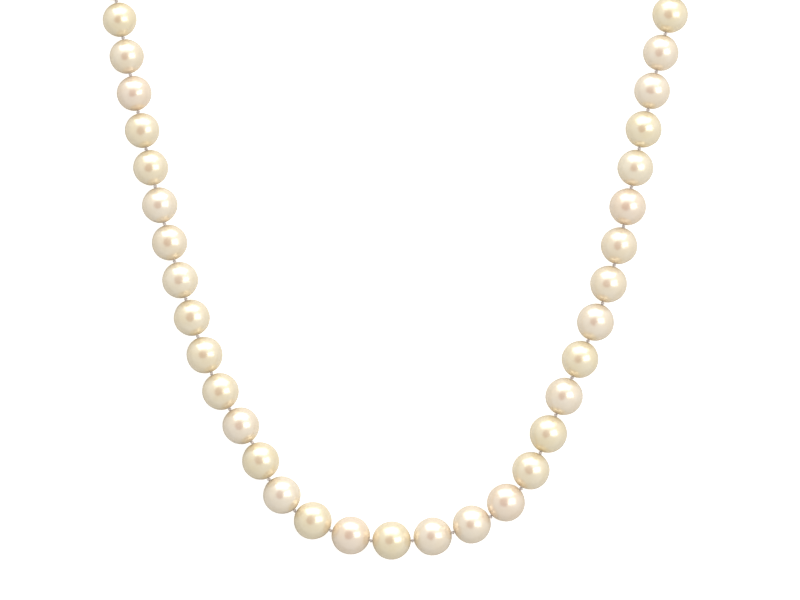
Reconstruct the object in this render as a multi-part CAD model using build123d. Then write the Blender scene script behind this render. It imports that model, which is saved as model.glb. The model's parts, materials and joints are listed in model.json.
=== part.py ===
from build123d import *
import os
from math import asin, cos, degrees, radians, sin, sqrt

# A knotted pearl strand laid open on a table in a U, with its push-in clasp unfastened.
# Millimetres and degrees. Local X runs along the strand, away from the centre pearl.

# Pearls
pearls_per_arm = 24
centre_diameter = 8.0
right_end_diameter = 7.2
left_end_diameter = 6.7
size_spread = 0.08
drill_radius = 0.36

# Silk and knots
knot_gap = 0.56
thread_radius = 0.28
knot_half_length = 0.17
knot_half_width = 0.42
knot_end_radius = 0.26
knot_belly = 0.06
tail_recess = 0.15
mouth_recess = 0.05

# Lay of each arm: distance along the strand from the centre pearl, heading away from sideways
right_lay = [(0, 0), (18, 24), (32, 59), (40, 68), (60, 66), (90, 79), (136, 76), (210, 88)]
left_lay = [(0, 0), (18, 30), (32, 69), (40, 54), (60, 71), (90, 76), (136, 80), (210, 88)]

# Gimp loops, with the doubled thread inside
loop_radius = 1.05
gimp_radius = 0.35
gimp_bore = 0.24
core_radius = 0.2
loop_opening = 70.0
loop_seat_gap = 0.05

# Eyelets of the clasp
eyelet_height = 3.2
eyelet_radius = 1.4
eyelet_wire = 0.35
link_play = 0.06
stem_radius = 0.28
stem_length = 0.3

# Clasp box and lid
box_length = 10.0
box_width = 6.0
corner_radius = 1.2
wall = 0.4
floor_thickness = 0.5
tray_height = 3.6
lid_thickness = 0.6
lid_bevel = 0.3
lip_depth = 0.25
lip_fit = 0.05
slot_margin = 0.2
slot_height = 1.4
notch_height = 0.9

# Tongue
block_length = 0.9
block_width = 4.4
block_height = 3.9
block_bevel = 0.3
tab_room = 2.3
tongue_length = 8.4
leaf_width = 3.0
leaf_thickness = 0.3
leaf_height = 1.1
fold_gap = 0.06
catch_play = 0.3
spring_angle = 9.5
neck_width = 1.2
notch_play = 0.2
tab_length = 1.2
tab_width = 2.6
tab_height = 0.9
tab_bevel = 0.25


def heading_at(lay, distance):
    """Heading of the strand at a distance from the centre pearl, along straight lines of the lay."""
    for (start, low), (end, high) in zip(lay, lay[1:]):
        if distance <= end:
            break
    return low + (high - low) * (distance - start) / (end - start)


def pearl_radius(number, end_diameter, phase):
    """Radius of a graduated pearl, counted from the centre, with the strand's small unevenness."""
    taper = (centre_diameter - end_diameter) * number / pearls_per_arm
    uneven = size_spread / 2 * sin(2.4 * number + phase) if number else 0
    return (centre_diameter - taper + uneven) / 2


def along(point, heading, distance):
    """Point reached on the table's plane by going a distance at a heading."""
    return point + Vector(cos(radians(heading)), sin(radians(heading)), 0) * distance


def lay_arm(lay, end_diameter, side):
    """Centres, headings and radii of one arm's pearls, the centre pearl first, and its knots."""
    radii = [pearl_radius(number, end_diameter, side) for number in range(pearls_per_arm + 1)]
    centre = Vector(0, 0, 0)
    turned = 0 if side > 0 else 180
    pearls = [(centre, turned, radii[0])]
    knots = []
    distance = 0
    for inner, outer in zip(radii, radii[1:]):
        distance += inner + knot_gap + outer
        knot = along(centre, turned, inner + knot_gap / 2)
        bearing = heading_at(lay, distance)
        turned = bearing if side > 0 else 180 - bearing
        centre = along(knot, turned, outer + knot_gap / 2)
        knots.append(knot + Vector(0, 0, inner))
        pearls.append((centre, turned, outer))
    return pearls, knots


def placed(shape, point, heading, height=0.0):
    """Shape moved from its own frame to a point on the table, at a heading."""
    return Pos(point.X, point.Y, height) * Rot(0, 0, heading) * shape


def round_bar(radius, start, end):
    """Round bar along X from start to end."""
    bar = Cylinder(radius, end - start, rotation=(0, 90, 0))
    return Pos((start + end) / 2, 0, 0) * bar


def make_pearl(radius):
    """Round pearl, drilled through along X."""
    return Sphere(radius) - round_bar(drill_radius, -2 * radius, 2 * radius)


def knot_outline(middle):
    """Corners of a plump knot's outline about a middle on the thread: place along X and radius."""
    return [
        (middle - knot_half_length, thread_radius),
        (middle - knot_half_length, knot_end_radius),
        (middle - knot_belly, knot_half_width),
        (middle + knot_belly, knot_half_width),
        (middle + knot_half_length, knot_end_radius),
        (middle + knot_half_length, thread_radius),
    ]


def make_thread(radius, knots):
    """Silk through one pearl's drill hole, with a knot outside each mouth named by its side."""
    reach = radius + knot_gap / 2
    outline = [(mouth_recess - radius, 0), (mouth_recess - radius, thread_radius)]
    if -1 in knots:
        outline = [(-reach - knot_half_length, 0)] + knot_outline(-reach)
    if 1 in knots:
        outline += knot_outline(reach) + [(reach + knot_half_length, 0)]
    else:
        outline += [(radius - tail_recess, thread_radius), (radius - tail_recess, 0)]
    return revolve(make_face(Polyline(*outline, close=True)), axis=Axis.X)


def pearl_node(pearl, knots):
    """One drilled pearl and its silk, as two separate solids in place."""
    centre, heading, radius = pearl
    solids = [make_pearl(radius).solid(), make_thread(radius, knots).solid()]
    return placed(Compound(solids), centre, heading, radius)


def make_gimp():
    """Open loop of gimp tube in the upright plane along the strand, its gap towards the pearl."""
    arc = 360 - loop_opening
    section = Plane.XY * (Circle(gimp_radius) - Circle(gimp_bore))
    loop = revolve(Pos(loop_radius, 0, 0) * section, axis=Axis.Y, revolution_arc=arc)
    return Rot(0, -arc / 2, 0) * loop


def make_thread_end(tilt, reach, drop):
    """Thread ring inside the gimp, with the doubled leg that comes out of the end pearl's hole."""
    ring = Torus(loop_radius, core_radius, rotation=(90, 0, 0))
    mouth = Vector(-reach, 0, drop)
    near = Vector(-loop_radius * cos(radians(tilt)), 0, loop_radius * sin(radians(tilt)))
    leg = extrude(Plane(origin=mouth, z_dir=near - mouth) * Circle(core_radius), (near - mouth).length)
    return ring + leg


def make_eyelet():
    """Flat ring about its own upright axis, with a stem towards its clasp half."""
    ring = Torus(eyelet_radius, eyelet_wire)
    return ring + round_bar(stem_radius, eyelet_radius, wall_face)


def make_clasp_box():
    """Tray of the clasp with the tongue's slot and the thumb tab's notch in its far wall."""
    shell = extrude(RectangleRounded(box_length, box_width, corner_radius), tray_height)
    cavity_outline = RectangleRounded(box_length - 2 * wall, box_width - 2 * wall, corner_radius - wall)
    shell -= Pos(0, 0, floor_thickness) * extrude(cavity_outline, tray_height)
    slot_low = leaf_height - slot_margin
    slot = Box(3 * wall, leaf_width + 2 * slot_margin, slot_height, align=(Align.CENTER, Align.CENTER, Align.MIN))
    notch = Box(3 * wall, neck_width + 2 * notch_play, slot_height + notch_height,
                align=(Align.CENTER, Align.CENTER, Align.MIN))
    return shell - Pos(box_length / 2, 0, slot_low) * (slot + notch)


def make_clasp_lid():
    """Lid on the tray's rim, bevelled, with a lip that drops inside the walls."""
    plate = extrude(RectangleRounded(box_length, box_width, corner_radius), lid_thickness)
    plate = chamfer(plate.faces().sort_by(Axis.Z)[-1].edges(), lid_bevel)
    inset = 2 * (wall + lip_fit)
    lip_outline = RectangleRounded(box_length - inset, box_width - inset, corner_radius - inset / 2)
    lip = Pos(0, 0, -lip_depth) * extrude(lip_outline, lip_depth)
    return Pos(0, 0, tray_height) * (plate + lip)


def make_tongue_base():
    """End block on the table, with the flat lower leaf that runs out to the fold."""
    block = Box(block_length, block_width, block_height, align=(Align.MIN, Align.CENTER, Align.MIN))
    block = chamfer(block.edges().filter_by(Axis.X), block_bevel)
    leaf = Box(tab_room + tongue_length, leaf_width, leaf_thickness, align=(Align.MIN, Align.CENTER, Align.MIN))
    return Pos(wall_face, 0, 0) * (block + Pos(block_length, 0, leaf_height) * leaf)


def make_tongue_spring():
    """Upper leaf from its rounded root at the fold back to the shoulders, and the narrow neck."""
    leaf = Pos(-spring_length / 2, 0, 0) * Box(spring_length, leaf_width, leaf_thickness)
    neck_length = wall + catch_play + tab_room / 2 + tab_length / 2
    neck = Pos(-spring_length - neck_length / 2, 0, 0) * Box(neck_length, neck_width, leaf_thickness)
    return leaf + neck


def make_thumb_tab():
    """Thumb pad on top of the neck's free end."""
    pad = Box(tab_length, tab_width, tab_height, align=(Align.MIN, Align.CENTER, Align.MIN))
    pad = chamfer(pad.faces().sort_by(Axis.Z)[-1].edges(), tab_bevel)
    free_end = spring_length + wall + catch_play + tab_room / 2 + tab_length / 2
    return Pos(-free_end, 0, leaf_thickness / 2) * pad


# Places along the clasp halves' own X, from the eyelet's centre
wall_face = eyelet_radius + eyelet_wire + stem_length
box_middle = wall_face + box_length / 2
spring_length = tongue_length - wall - catch_play
fold_x = wall_face + block_length + tab_room + tongue_length
fold_z = leaf_height + leaf_thickness * 1.5 + fold_gap

right_pearls, right_knots = lay_arm(right_lay, right_end_diameter, 1)
left_pearls, left_knots = lay_arm(left_lay, left_end_diameter, -1)


def clasp_places(pearls):
    """Heading, loop centre, eyelet centre, downward tilt and the mouth's place from the loop."""
    centre, heading, radius = pearls[-1]
    drop = radius - eyelet_height
    reach = radius + loop_seat_gap + gimp_radius + loop_radius
    level = sqrt(reach ** 2 - drop ** 2)
    link = loop_radius - gimp_radius - link_play + eyelet_radius - eyelet_wire
    loop = along(centre, heading, level)
    eyelet = along(loop, heading, link)
    return heading, loop, eyelet, degrees(asin(drop / reach)), level - radius, drop


def build():
    """Every named piece in its place, before the whole is centred on the origin."""
    pieces = {"pearl_centre": pearl_node(right_pearls[0], (-1, 1))}
    for arm, pearls in (("left", left_pearls), ("right", right_pearls)):
        for number in range(1, pearls_per_arm + 1):
            knots = (1,) if number < pearls_per_arm else ()
            pieces[f"pearl_{arm}_{number:02d}"] = pearl_node(pearls[number], knots)
        heading, loop, eyelet, tilt, reach, drop = clasp_places(pearls)
        gimp = Rot(0, tilt, 0) * make_gimp()
        pieces[f"gimp_{arm}"] = placed(gimp, loop, heading, eyelet_height)
        thread_end = make_thread_end(tilt, reach, drop)
        pieces[f"thread_end_{arm}"] = placed(thread_end, loop, heading, eyelet_height)
        half = "box" if arm == "left" else "tongue"
        pieces[f"{half}_eyelet"] = placed(make_eyelet(), eyelet, heading, eyelet_height)
        if half == "box":
            pieces["clasp_box"] = placed(Pos(box_middle, 0, 0) * make_clasp_box(), eyelet, heading)
            pieces["clasp_lid"] = placed(Pos(box_middle, 0, 0) * make_clasp_lid(), eyelet, heading)
        else:
            fold = Pos(fold_x, 0, fold_z) * Rot(0, spring_angle, 0)
            pieces["tongue_base"] = placed(make_tongue_base(), eyelet, heading)
            pieces["tongue_spring"] = placed(fold * make_tongue_spring(), eyelet, heading)
            pieces["thumb_tab"] = placed(fold * make_thumb_tab(), eyelet, heading)
    return pieces


pieces = build()
extent = Compound(list(pieces.values())).bounding_box()
middle = extent.center()
origin_shift = Vector(-middle.X, -middle.Y, 0)

os.makedirs("parts", exist_ok=True)
for name, shape in pieces.items():
    export_step(Pos(origin_shift) * shape, f"parts/{name}.step")
print(len(pieces), "nodes, extent", extent.size, "shift", origin_shift)
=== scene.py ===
import json
import math
import random
import bpy
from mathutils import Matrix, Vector, noise


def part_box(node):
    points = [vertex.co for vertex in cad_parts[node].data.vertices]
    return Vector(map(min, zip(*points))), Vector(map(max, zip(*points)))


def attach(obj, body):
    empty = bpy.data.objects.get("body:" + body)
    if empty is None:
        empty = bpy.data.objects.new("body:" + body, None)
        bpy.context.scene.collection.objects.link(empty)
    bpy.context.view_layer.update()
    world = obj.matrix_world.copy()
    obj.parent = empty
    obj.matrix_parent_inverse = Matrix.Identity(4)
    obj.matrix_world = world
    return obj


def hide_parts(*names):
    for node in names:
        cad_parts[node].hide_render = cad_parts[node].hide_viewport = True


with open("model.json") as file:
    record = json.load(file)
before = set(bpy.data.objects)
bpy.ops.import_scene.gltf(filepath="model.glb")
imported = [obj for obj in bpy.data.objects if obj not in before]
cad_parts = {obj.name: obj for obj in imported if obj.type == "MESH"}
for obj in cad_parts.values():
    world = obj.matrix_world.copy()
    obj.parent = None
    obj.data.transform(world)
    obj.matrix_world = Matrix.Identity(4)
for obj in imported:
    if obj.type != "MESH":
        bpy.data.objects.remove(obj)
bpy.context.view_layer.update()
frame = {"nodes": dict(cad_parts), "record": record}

jointPlace = {j["name"]: Vector(j["pos_m"]) for j in frame["record"]["behaviour"]["joints"]}
mm = 0.001


def linearColour(hexText):
    values = [int(hexText[i:i + 2], 16) / 255 for i in (1, 3, 5)]
    return [v / 12.92 if v <= 0.04045 else ((v + 0.055) / 1.055) ** 2.4 for v in values] + [1.0]


# owner is a material or the world; an input is a plain value or a socket to link from
def addNode(owner, kind, settings=None, inputs=None):
    node = owner.node_tree.nodes.new(kind)
    for key, value in (settings or {}).items():
        setattr(node, key, value)
    for key, value in (inputs or {}).items():
        if isinstance(value, bpy.types.NodeSocket):
            owner.node_tree.links.new(value, node.inputs[key])
        else:
            node.inputs[key].default_value = value
    return node


def newMaterial(name):
    material = bpy.data.materials.new(name)
    material.use_nodes = True
    return material, material.node_tree.nodes["Principled BSDF"]


def meshObject(name, points, faces, material, body):
    mesh = bpy.data.meshes.new(name)
    mesh.from_pydata(points, [], faces)
    mesh.polygons.foreach_set("use_smooth", [True] * len(mesh.polygons))
    mesh.materials.append(material)
    mesh.update()
    piece = bpy.data.objects.new(name, mesh)
    bpy.context.scene.collection.objects.link(piece)
    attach(piece, body)
    return piece


# Cultured nacre, layered aragonite: a soft deep glow under a sharper, wet-looking skin
nacre = {
    "tones": ["#F0E2C2", "#F1E4C8", "#F0E1C5", "#F2E4CC", "#EFE1BE", "#F1E2CA", "#F1DEC6"],
    "rim": "#F6DFAB",         # golden light at a glancing angle
    "pale": 0.16,             # how far the paler clouds go toward white
    "metallic": 0.36,         # stands for the mirror-like inner layers
    "ior": 1.6,
    "roughness": 0.27,
    "coatRoughness": 0.13,
    "cloudMm": 3.0,
    "dimpleMm": 0.9,
    "dimpleDepthMm": 0.04,
    "dimpleStrength": 0.3,
}


def nacreMaterial(number, tone):
    material, shader = newMaterial(f"nacre_tone_{number}")
    place = addNode(material, "ShaderNodeTexCoord").outputs["Object"]
    cloud = addNode(material, "ShaderNodeTexNoise", None,
                    {"Vector": place, "Scale": 1 / (nacre["cloudMm"] * mm), "Detail": 2.0})
    body = linearColour(tone)
    pale = [value + (1 - value) * nacre["pale"] for value in body[:3]] + [1.0]
    ramp = addNode(material, "ShaderNodeValToRGB", None, {"Fac": cloud.outputs["Fac"]})
    ramp.color_ramp.elements[0].position = 0.35
    ramp.color_ramp.elements[0].color = body
    ramp.color_ramp.elements[1].position = 0.7
    ramp.color_ramp.elements[1].color = pale
    dimple = addNode(material, "ShaderNodeTexNoise", None,
                     {"Vector": place, "Scale": 1 / (nacre["dimpleMm"] * mm), "Detail": 3.0})
    bump = addNode(material, "ShaderNodeBump", None,
                   {"Height": dimple.outputs["Fac"], "Strength": nacre["dimpleStrength"],
                    "Distance": nacre["dimpleDepthMm"] * mm})
    links = material.node_tree.links
    links.new(ramp.outputs["Color"], shader.inputs["Base Color"])
    links.new(bump.outputs["Normal"], shader.inputs["Normal"])
    shader.inputs["Metallic"].default_value = nacre["metallic"]
    shader.inputs["Roughness"].default_value = nacre["roughness"]
    shader.inputs["IOR"].default_value = nacre["ior"]
    shader.inputs["Specular Tint"].default_value = linearColour(nacre["rim"])
    shader.inputs["Coat Weight"].default_value = 1.0
    shader.inputs["Coat Roughness"].default_value = nacre["coatRoughness"]
    shader.inputs["Coat IOR"].default_value = nacre["ior"]
    return material


# Bleached silk, two plies twisted: matt off-white with a cool cast
silk = {
    "colour": "#F6F1EC",
    "shade": "#E6DCDD",
    "roughness": 0.75,
    "sheen": 0.4,
    "filamentMm": 0.06,       # a real filament is near 0.015, drawn coarser so that it shows
    "filamentDepthMm": 0.02,
    "filamentStrength": 0.4,
    "plyRadiusMm": 0.13,
    "twistMm": 0.9,           # length of one full turn of the two plies
    "knotTubeMm": 0.14,       # radius of the strand in a knot
    "knotLoopMm": 0.3,        # radius of the knot's loops across the thread
    "knotDepthMm": 0.1,       # half its length along the thread
}


def silkMaterial():
    material, shader = newMaterial("twisted_silk")
    place = addNode(material, "ShaderNodeTexCoord").outputs["Object"]
    fibre = addNode(material, "ShaderNodeTexNoise", None,
                    {"Vector": place, "Scale": 1 / (silk["filamentMm"] * mm), "Detail": 2.0})
    ramp = addNode(material, "ShaderNodeValToRGB", None, {"Fac": fibre.outputs["Fac"]})
    ramp.color_ramp.elements[0].color = linearColour(silk["shade"])
    ramp.color_ramp.elements[1].color = linearColour(silk["colour"])
    bump = addNode(material, "ShaderNodeBump", None,
                   {"Height": fibre.outputs["Fac"], "Strength": silk["filamentStrength"],
                    "Distance": silk["filamentDepthMm"] * mm})
    links = material.node_tree.links
    links.new(ramp.outputs["Color"], shader.inputs["Base Color"])
    links.new(bump.outputs["Normal"], shader.inputs["Normal"])
    shader.inputs["Roughness"].default_value = silk["roughness"]
    shader.inputs["Sheen Weight"].default_value = silk["sheen"]
    return material


# Gold alloy, polished by hand: bright and warm, broken up by hairline scratches
gold = {
    "colour": "#E0C48E",
    "roughness": 0.2,
    "gimpRoughness": 0.3,     # drawn and coiled wire isn't polished again
    "scratchMm": 0.12,        # a real hairline is near 0.02, drawn coarser so that it shows
    "scratchDepthMm": 0.02,
    "scratchStrength": 0.08,
}


def goldMaterial(name, roughness):
    material, shader = newMaterial(name)
    place = addNode(material, "ShaderNodeTexCoord").outputs["Object"]
    stretch = addNode(material, "ShaderNodeMapping", None, {"Vector": place, "Scale": (1.0, 0.12, 1.0)})
    grain = addNode(material, "ShaderNodeTexNoise", None,
                    {"Vector": stretch.outputs["Vector"], "Scale": 1 / (gold["scratchMm"] * mm),
                     "Detail": 3.0})
    rough = addNode(material, "ShaderNodeMapRange", None,
                    {"Value": grain.outputs["Fac"], "To Min": roughness * 0.7, "To Max": roughness * 1.5})
    bump = addNode(material, "ShaderNodeBump", None,
                   {"Height": grain.outputs["Fac"], "Strength": gold["scratchStrength"],
                    "Distance": gold["scratchDepthMm"] * mm})
    links = material.node_tree.links
    links.new(rough.outputs["Result"], shader.inputs["Roughness"])
    links.new(bump.outputs["Normal"], shader.inputs["Normal"])
    shader.inputs["Base Color"].default_value = linearColour(gold["colour"])
    shader.inputs["Metallic"].default_value = 1.0
    return material


nacreMaterials = [nacreMaterial(number, tone) for number, tone in enumerate(nacre["tones"])]
silkMatt = silkMaterial()
goldBright = goldMaterial("polished_gold", gold["roughness"])
gimpGold = goldMaterial("gilt_gimp_wire", gold["gimpRoughness"])
print("materials made")


def alignedAxes(direction):
    along = direction.normalized()
    side = Vector((0, 0, 1)).cross(along).normalized()
    return along, side, along.cross(side)


# A round tube along the path; the section is carried on from point to point so it doesn't twist
def tube(path, radius, closed=False, sides=8):
    points, faces, count = [], [], len(path)
    normal = None
    for i in range(count):
        before = path[(i - 1) % count] if closed or i else path[0]
        after = path[(i + 1) % count] if closed or i < count - 1 else path[-1]
        tangent = (after - before).normalized()
        if normal is None:
            normal = tangent.orthogonal().normalized()
        normal = (normal - tangent * normal.dot(tangent)).normalized()
        other = tangent.cross(normal)
        for s in range(sides):
            angle = 2 * math.pi * s / sides
            points.append(path[i] + (normal * math.cos(angle) + other * math.sin(angle)) * radius)
    for i in range(count if closed else count - 1):
        for s in range(sides):
            a, b = i * sides, ((i + 1) % count) * sides
            faces.append((a + s, a + (s + 1) % sides, b + (s + 1) % sides, b + s))
    if not closed:
        faces.append(tuple(reversed(range(sides))))
        faces.append(tuple((count - 1) * sides + s for s in range(sides)))
    return points, faces


def joined(parts):
    points, faces = [], []
    for partPoints, partFaces in parts:
        start = len(points)
        points += partPoints
        faces += [tuple(start + i for i in face) for face in partFaces]
    return points, faces


pearlShape = {
    "rings": 40,
    "segments": 56,
    "drillMm": 0.36,          # radius of the drill hole
    "lipMm": 0.05,            # how deep its mouth is broken
    "unevenness": 0.02,       # lumps, as a share of the radius
}


def pearlMesh(centre, radius, direction, seed):
    along, side, up = alignedAxes(direction)
    drill = pearlShape["drillMm"] * mm
    start = math.asin(drill / radius)
    outline = []
    for i in range(pearlShape["rings"] + 1):
        polar = start + (math.pi - 2 * start) * i / pearlShape["rings"]
        outline.append((radius * math.cos(polar), radius * math.sin(polar)))
    reach = outline[0][0] - pearlShape["lipMm"] * mm
    outline += [(-reach, drill * 0.96), (0, drill * 0.95), (reach, drill * 0.96)]
    points, faces = [], []
    offset = Vector((seed * 7.3, seed * 3.1, seed * 5.7))
    segments = pearlShape["segments"]
    for x, r in outline:
        for s in range(segments):
            turn = 2 * math.pi * s / segments
            local = Vector((x, r * math.cos(turn), r * math.sin(turn)))
            broad = noise.noise(local / radius * 1.1 + offset)
            lump = broad + 0.35 * noise.noise(local / radius * 3.0 - offset)
            away = min(1.0, (r - drill) / (0.6 * radius)) if r > drill else 0.0  # no lumps at the hole
            local *= 1 + pearlShape["unevenness"] * (lump - 0.55) * max(0.0, away)
            points.append(centre + along * local.x + side * local.y + up * local.z)
    rows = len(outline)
    for i in range(rows):
        for s in range(segments):
            a, b = i * segments, ((i + 1) % rows) * segments
            faces.append((a + s, b + s, b + (s + 1) % segments, a + (s + 1) % segments))
    return points, faces


def silkMesh(start, end, knotPlaces, seed):
    along, side, up = alignedAxes(end - start)
    length = (end - start).length
    ply = silk["plyRadiusMm"] * mm
    parts = []
    steps = 48
    for phase in (0, math.pi):
        path = []
        for i in range(steps + 1):
            turn = phase + 2 * math.pi * length * i / steps / (silk["twistMm"] * mm)
            outward = side * math.cos(turn) + up * math.sin(turn)
            path.append(start + along * length * i / steps + outward * ply)
        parts.append(tube(path, ply, sides=6))
    wobble = random.Random(seed)
    knotSteps = 42
    for middle in knotPlaces:
        spin = wobble.uniform(0, math.pi)
        path = []
        for i in range(knotSteps):  # an overhand knot pulled tight
            t = 2 * math.pi * i / knotSteps
            y = (math.sin(t) + 2 * math.sin(2 * t)) / 3 * silk["knotLoopMm"] * mm
            z = (math.cos(t) - 2 * math.cos(2 * t)) / 3 * silk["knotLoopMm"] * mm
            x = -math.sin(3 * t) * silk["knotDepthMm"] * mm
            turned = (y * math.cos(spin) - z * math.sin(spin), y * math.sin(spin) + z * math.cos(spin))
            path.append(middle + along * x + side * turned[0] + up * turned[1])
        parts.append(tube(path, silk["knotTubeMm"] * mm, closed=True, sides=8))
    return joined(parts)


# A pearl lies on the table, between its inner and outer knots
def makePearl(name, inner, outer, knotPlaces, seed):
    low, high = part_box(name)
    radius = (high[2] - low[2]) / 2
    centre = (inner + outer) / 2
    centre.z = radius
    inner = Vector((inner.x, inner.y, radius))
    outer = Vector((outer.x, outer.y, radius))
    tone = random.Random(seed * 13 + 5).choice(nacreMaterials)
    label = name.replace("pearl_", "")
    points, faces = pearlMesh(centre, radius, outer - inner, seed)
    pearl = meshObject("nacre_" + label, points, faces, tone, name)
    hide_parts(name)
    points, faces = silkMesh(inner, outer, knotPlaces, seed)
    thread = meshObject("silk_" + label, points, faces, silkMatt, name)


def makeArm(arm, swing, firstSeed):
    count = sum(1 for name in jointPlace if name.startswith(arm + "_knot_"))
    knots = [jointPlace[f"{arm}_knot_{number:02d}"] for number in range(1, count + 1)]
    for number in range(1, count):
        name = f"pearl_{arm}_{number:02d}"
        makePearl(name, knots[number - 1], knots[number], [knots[number]], firstSeed + number)
    last = f"pearl_{arm}_{count:02d}"  # its outer side meets the gimp, with no knot
    low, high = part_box(last)
    radius = (high[2] - low[2]) / 2
    run = jointPlace[swing] - knots[-1]
    run.z = 0
    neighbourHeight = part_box(f"pearl_{arm}_{count - 1:02d}")[1][2]
    gap = (knots[-1] - knots[-2]).length / 2 - neighbourHeight / 2
    outer = knots[-1] + run.normalized() * 2 * (radius + gap)
    makePearl(last, knots[-1], outer, [], firstSeed + count)
    return last


makePearl("pearl_centre", jointPlace["left_knot_01"], jointPlace["right_knot_01"],
          [jointPlace["left_knot_01"], jointPlace["right_knot_01"]], 0)
endPearls = {"left": makeArm("left", "box_swing", 100), "right": makeArm("right", "tongue_swing", 200)}
print("pearls and silk made")


# Gimp, a close coil of gilt wire over the silk's end loop, which hangs in the clasp's eyelet
gimp = {
    "loopMm": 1.05,           # radius of the loop
    "outerMm": 0.35,          # outer radius of the coil
    "wireMm": 0.08,           # radius of the wire
    "pitchRadii": 2.1,        # one turn to the next, in wire radii
    "openDegrees": 70,        # the loop's open side, toward the pearl
    "toEyeletMm": 1.69,       # centre of the loop to centre of the eyelet
    "coilSteps": 14,
    "endPlyMm": 0.09,         # radius of each ply of silk in the loop
    "endPlyTurns": 7,
    "legMm": 0.16,            # radius of the silk's leg into the pearl
    "legReachMm": 1.5,
}


def makeGimp(arm, swing):
    eyelet = jointPlace[swing]
    toEyelet = eyelet - jointPlace[f"{arm}_knot_24"]
    toEyelet.z = 0
    along = toEyelet.normalized()
    up = Vector((0, 0, 1))
    side = up.cross(along)
    middle = eyelet - along * gimp["toEyeletMm"] * mm
    arc = math.radians(360 - gimp["openDegrees"])
    turns = int(arc * gimp["loopMm"] / (gimp["pitchRadii"] * gimp["wireMm"]))
    coilRadius = (gimp["outerMm"] - gimp["wireMm"]) * mm
    coilPoints = turns * gimp["coilSteps"]
    path = []
    for i in range(coilPoints + 1):
        around = -arc / 2 + arc * i / coilPoints
        outward = along * math.cos(around) + up * math.sin(around)
        spin = 2 * math.pi * i / gimp["coilSteps"]
        ring = middle + outward * gimp["loopMm"] * mm
        path.append(ring + outward * coilRadius * math.cos(spin) + side * coilRadius * math.sin(spin))
    points, faces = tube(path, gimp["wireMm"] * mm, sides=6)
    coil = meshObject(f"gimp_coil_{arm}", points, faces, gimpGold, endPearls[arm])
    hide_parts(f"gimp_{arm}")
    ply = gimp["endPlyMm"]
    ringSteps = 96
    parts = []
    for phase in (0, math.pi):
        ring = []
        for i in range(ringSteps):
            around = 2 * math.pi * i / ringSteps
            outward = along * math.cos(around) + up * math.sin(around)
            spin = phase + around * gimp["endPlyTurns"]
            ring.append(middle + outward * (gimp["loopMm"] + ply * math.cos(spin)) * mm
                        + side * ply * mm * math.sin(spin))
        parts.append(tube(ring, ply * mm, closed=True, sides=6))
    mouth = middle - along * gimp["legReachMm"] * mm
    near = middle - along * gimp["loopMm"] * mm
    parts.append(tube([mouth, (mouth + near) / 2, near], gimp["legMm"] * mm, sides=8))
    points, faces = joined(parts)
    core = meshObject(f"silk_end_{arm}", points, faces, silkMatt, endPearls[arm])
    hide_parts(f"thread_end_{arm}")


makeGimp("left", "box_swing")
makeGimp("right", "tongue_swing")
for node in ("clasp_box", "clasp_lid", "box_eyelet",
             "tongue_base", "tongue_eyelet", "tongue_spring", "thumb_tab"):
    piece = frame["nodes"][node]
    piece.data.materials.clear()
    piece.data.materials.append(goldBright)
print("clasp finished")


# Studio: white table, tall softbox beyond the strand, small window to the right
studio = {
    "frameWidthMm": 164.95,               # width of table in view
    "centreFromPearlMm": (1.73, 49.6),    # centre of the view, from the centre pearl
    "cameraHeight": 1.0,
    "strandHeight": 0.004,                # the pearls' middle, where the width is measured
    "tableColour": (0.85, 0.84, 0.82, 1),
    "tableGlow": 0.7,                     # as the camera sees it
    "tableMirrored": 0.05,                # as the pearls and gold see it
    "airLight": 0.5,                      # on the strand; 1 where it is seen
    "cardRadius": 0.4,
    "cardColour": "#BE8C7A",
    "softboxWatts": 9.5,
    "windowWatts": 2.8,
}


def whiteFloor():
    mesh = bpy.data.meshes.new("table_top")
    mesh.from_pydata([(-3, -3, 0), (3, -3, 0), (3, 3, 0), (-3, 3, 0)], [], [(0, 1, 2, 3)])
    floor = bpy.data.objects.new("table_top", mesh)
    bpy.context.scene.collection.objects.link(floor)
    floor.location.z = -0.00002  # just under the pearls
    material, shader = newMaterial("white_table")
    rays = addNode(material, "ShaderNodeLightPath")
    seen = addNode(material, "ShaderNodeMath", {"operation": "MAXIMUM"},
                   {0: rays.outputs["Is Camera Ray"], 1: rays.outputs["Is Transmission Ray"]})
    direct = addNode(material, "ShaderNodeMath", {"operation": "MULTIPLY"},
                     {0: seen.outputs[0], 1: studio["tableGlow"]})
    mirrored = addNode(material, "ShaderNodeMath", {"operation": "MULTIPLY"},
                       {0: rays.outputs["Is Glossy Ray"], 1: studio["tableMirrored"]})
    glow = addNode(material, "ShaderNodeMath", {"operation": "MAXIMUM"},
                   {0: direct.outputs[0], 1: mirrored.outputs[0]})
    shader.inputs["Base Color"].default_value = studio["tableColour"]
    shader.inputs["Roughness"].default_value = 0.9
    shader.inputs["Specular IOR Level"].default_value = 0.0
    shader.inputs["Emission Color"].default_value = (1, 1, 1, 1)
    material.node_tree.links.new(glow.outputs[0], shader.inputs["Emission Strength"])
    mesh.materials.append(material)


def whiteWorld():
    world = bpy.data.worlds.new("studio_air")
    bpy.context.scene.world = world
    world.use_nodes = True
    rays = addNode(world, "ShaderNodeLightPath")
    seen = addNode(world, "ShaderNodeMath", {"operation": "MAXIMUM"},
                   {0: rays.outputs["Is Camera Ray"], 1: rays.outputs["Is Glossy Ray"]})
    alsoThrough = addNode(world, "ShaderNodeMath", {"operation": "MAXIMUM"},
                          {0: seen.outputs[0], 1: rays.outputs["Is Transmission Ray"]})
    strength = addNode(world, "ShaderNodeMapRange", None,
                       {"Value": alsoThrough.outputs[0], "To Min": studio["airLight"], "To Max": 1.0})
    background = world.node_tree.nodes["Background"]
    background.inputs["Color"].default_value = (1, 1, 1, 1)
    world.node_tree.links.new(strength.outputs["Result"], background.inputs["Strength"])


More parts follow.
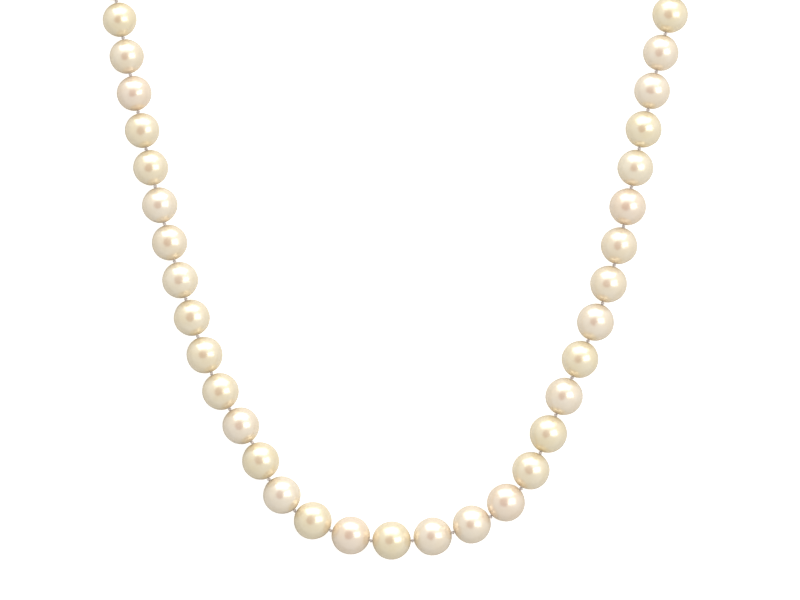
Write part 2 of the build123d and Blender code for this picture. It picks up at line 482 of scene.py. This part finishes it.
def softbox(name, place, target, width, height, watts):
    light = bpy.data.lights.new(name, "AREA")
    light.shape = "RECTANGLE"
    light.size = width
    light.size_y = height
    light.energy = watts
    lamp = bpy.data.objects.new(name, light)
    bpy.context.scene.collection.objects.link(lamp)
    lamp.location = place
    lamp.visible_camera = False
    lamp.rotation_euler = (Vector(target) - Vector(place)).to_track_quat("-Z", "Y").to_euler()


# A warm card above the strand, seen only in reflections: it gives each pearl its rosy middle
def warmCard():
    mesh = bpy.data.meshes.new("camera_card")
    r = studio["cardRadius"]
    outline = [(r * math.cos(a / 12 * math.pi), r * math.sin(a / 12 * math.pi), 0) for a in range(24)]
    mesh.from_pydata(outline, [], [tuple(range(24))])
    card = bpy.data.objects.new("camera_card", mesh)
    bpy.context.scene.collection.objects.link(card)
    card.location = (aim.x - 0.2, aim.y + 0.03, 0.8)
    card.visible_camera = False
    card.visible_shadow = False
    card.visible_diffuse = False
    material, shader = newMaterial("warm_card")
    shader.inputs["Base Color"].default_value = (0.0, 0.0, 0.0, 1)
    shader.inputs["Emission Color"].default_value = linearColour(studio["cardColour"])
    shader.inputs["Emission Strength"].default_value = 1.0
    mesh.materials.append(material)


centrePearl = [Vector(corner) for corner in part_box("pearl_centre")]
pearlMiddle = (centrePearl[0] + centrePearl[1]) / 2
aim = Vector((pearlMiddle.x + studio["centreFromPearlMm"][0] * mm,
              pearlMiddle.y + studio["centreFromPearlMm"][1] * mm, 0))
whiteFloor()
whiteWorld()
warmCard()
softbox("tall_softbox", (aim.x, aim.y + 0.9, 0.5), (aim.x, aim.y, 0.3), 1.6, 0.98, studio["softboxWatts"])
softbox("window_light", (aim.x + 0.6, aim.y + 0.1, 0.78), (aim.x, aim.y, 0), 0.5, 0.7,
        studio["windowWatts"])

cameraData = bpy.data.cameras.new("overhead_camera")
cameraData.sensor_width = 36
toStrand = studio["cameraHeight"] - studio["strandHeight"]
cameraData.lens = cameraData.sensor_width * toStrand / (studio["frameWidthMm"] * mm)
cameraData.clip_start = 0.01
camera = bpy.data.objects.new("overhead_camera", cameraData)
bpy.context.scene.collection.objects.link(camera)
camera.location = (aim.x, aim.y, studio["cameraHeight"])
bpy.context.scene.camera = camera
bpy.context.scene.view_settings.view_transform = "Standard"
print("studio set")
